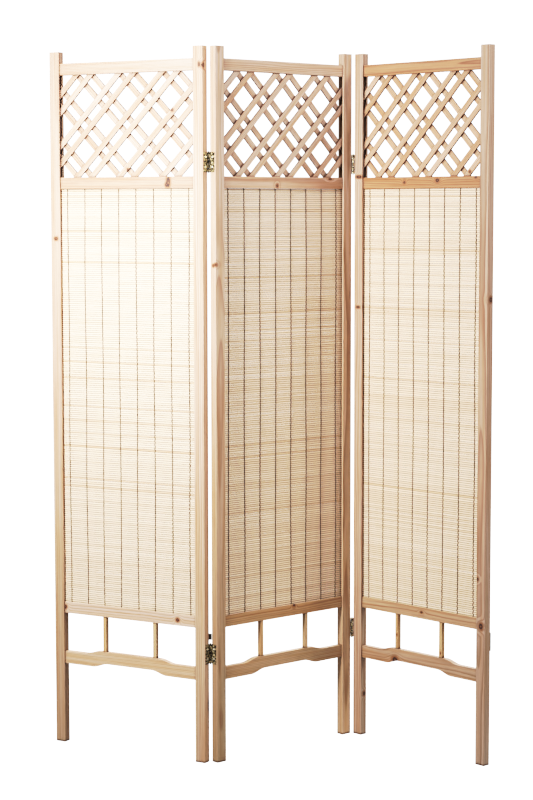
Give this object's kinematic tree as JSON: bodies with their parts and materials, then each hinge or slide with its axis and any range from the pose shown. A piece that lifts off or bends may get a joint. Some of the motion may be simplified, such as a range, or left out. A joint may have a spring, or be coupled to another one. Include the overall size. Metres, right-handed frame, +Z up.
{
  "type": "folding room divider screen",
  "caption": "Zigzag folding screen of pine panels with lattice tops, woven bamboo blinds and bowed bottom stretchers, joined by butt hinges.",
  "frame": {"origin": "on the floor, under the middle of the screen's bounding box as it stands", "axes": "+Z up along the posts, +X to the right as seen from the front, +Y away from the viewer"},
  "size_m": [1.0576, 0.3344, 1.7],
  "materials": {
    "pine_left": "planed, unfinished knotty pine",
    "pine_middle": "planed, unfinished knotty pine",
    "pine_right": "planed, unfinished knotty pine",
    "bamboo": "split bamboo reeds, natural",
    "thread": "dark brown twisted cotton",
    "hinge_brass": "antique brass, darkened",
    "rubber": "matt black"
  },
  "bodies": {
    "left_panel": {"left_panel_left_post": "pine_left", "left_panel_right_post": "pine_left", "left_panel_top_rail": "pine_left", "left_panel_middle_rail": "pine_left", "left_panel_lower_rail": "pine_left", "left_panel_stretcher": "pine_left", "left_panel_left_spindle": "pine_left", "left_panel_right_spindle": "pine_left", "left_panel_front_slats": "pine_left", "left_panel_back_slats": "pine_left", "left_panel_blind": "bamboo", "left_panel_blind_threads": "thread", "left_panel_hinge_screws": "hinge_brass", "upper_left_hinge_outer_leaf": "hinge_brass", "lower_left_hinge_outer_leaf": "hinge_brass", "left_panel_bumper": "rubber"},
    "middle_panel": {"middle_panel_left_post": "pine_middle", "middle_panel_right_post": "pine_middle", "middle_panel_top_rail": "pine_middle", "middle_panel_middle_rail": "pine_middle", "middle_panel_lower_rail": "pine_middle", "middle_panel_stretcher": "pine_middle", "middle_panel_left_spindle": "pine_middle", "middle_panel_right_spindle": "pine_middle", "middle_panel_front_slats": "pine_middle", "middle_panel_back_slats": "pine_middle", "middle_panel_blind": "bamboo", "middle_panel_blind_threads": "thread", "middle_panel_hinge_screws": "hinge_brass", "upper_left_hinge_middle_leaf": "hinge_brass", "upper_left_hinge_pin": "hinge_brass", "lower_left_hinge_middle_leaf": "hinge_brass", "lower_left_hinge_pin": "hinge_brass", "upper_right_hinge_middle_leaf": "hinge_brass", "upper_right_hinge_pin": "hinge_brass", "lower_right_hinge_middle_leaf": "hinge_brass", "lower_right_hinge_pin": "hinge_brass"},
    "right_panel": {"right_panel_left_post": "pine_right", "right_panel_right_post": "pine_right", "right_panel_top_rail": "pine_right", "right_panel_middle_rail": "pine_right", "right_panel_lower_rail": "pine_right", "right_panel_stretcher": "pine_right", "right_panel_left_spindle": "pine_right", "right_panel_right_spindle": "pine_right", "right_panel_front_slats": "pine_right", "right_panel_back_slats": "pine_right", "right_panel_blind": "bamboo", "right_panel_blind_threads": "thread", "right_panel_hinge_screws": "hinge_brass", "upper_right_hinge_outer_leaf": "hinge_brass", "lower_right_hinge_outer_leaf": "hinge_brass", "right_panel_bumper": "rubber"}
  },
  "joints": [
    {"name": "left_fold", "type": "hinge", "parent": "middle_panel", "child": "left_panel", "pos_m": [-0.13802, -0.11792, 0.85], "axis": [0, 0, 1], "range_deg": [-109, 71]},
    {"name": "right_fold", "type": "hinge", "parent": "middle_panel", "child": "right_panel", "pos_m": [0.21111, 0.15112, 0.85], "axis": [0, 0, 1], "range_deg": [-92, 88]}
  ]
}
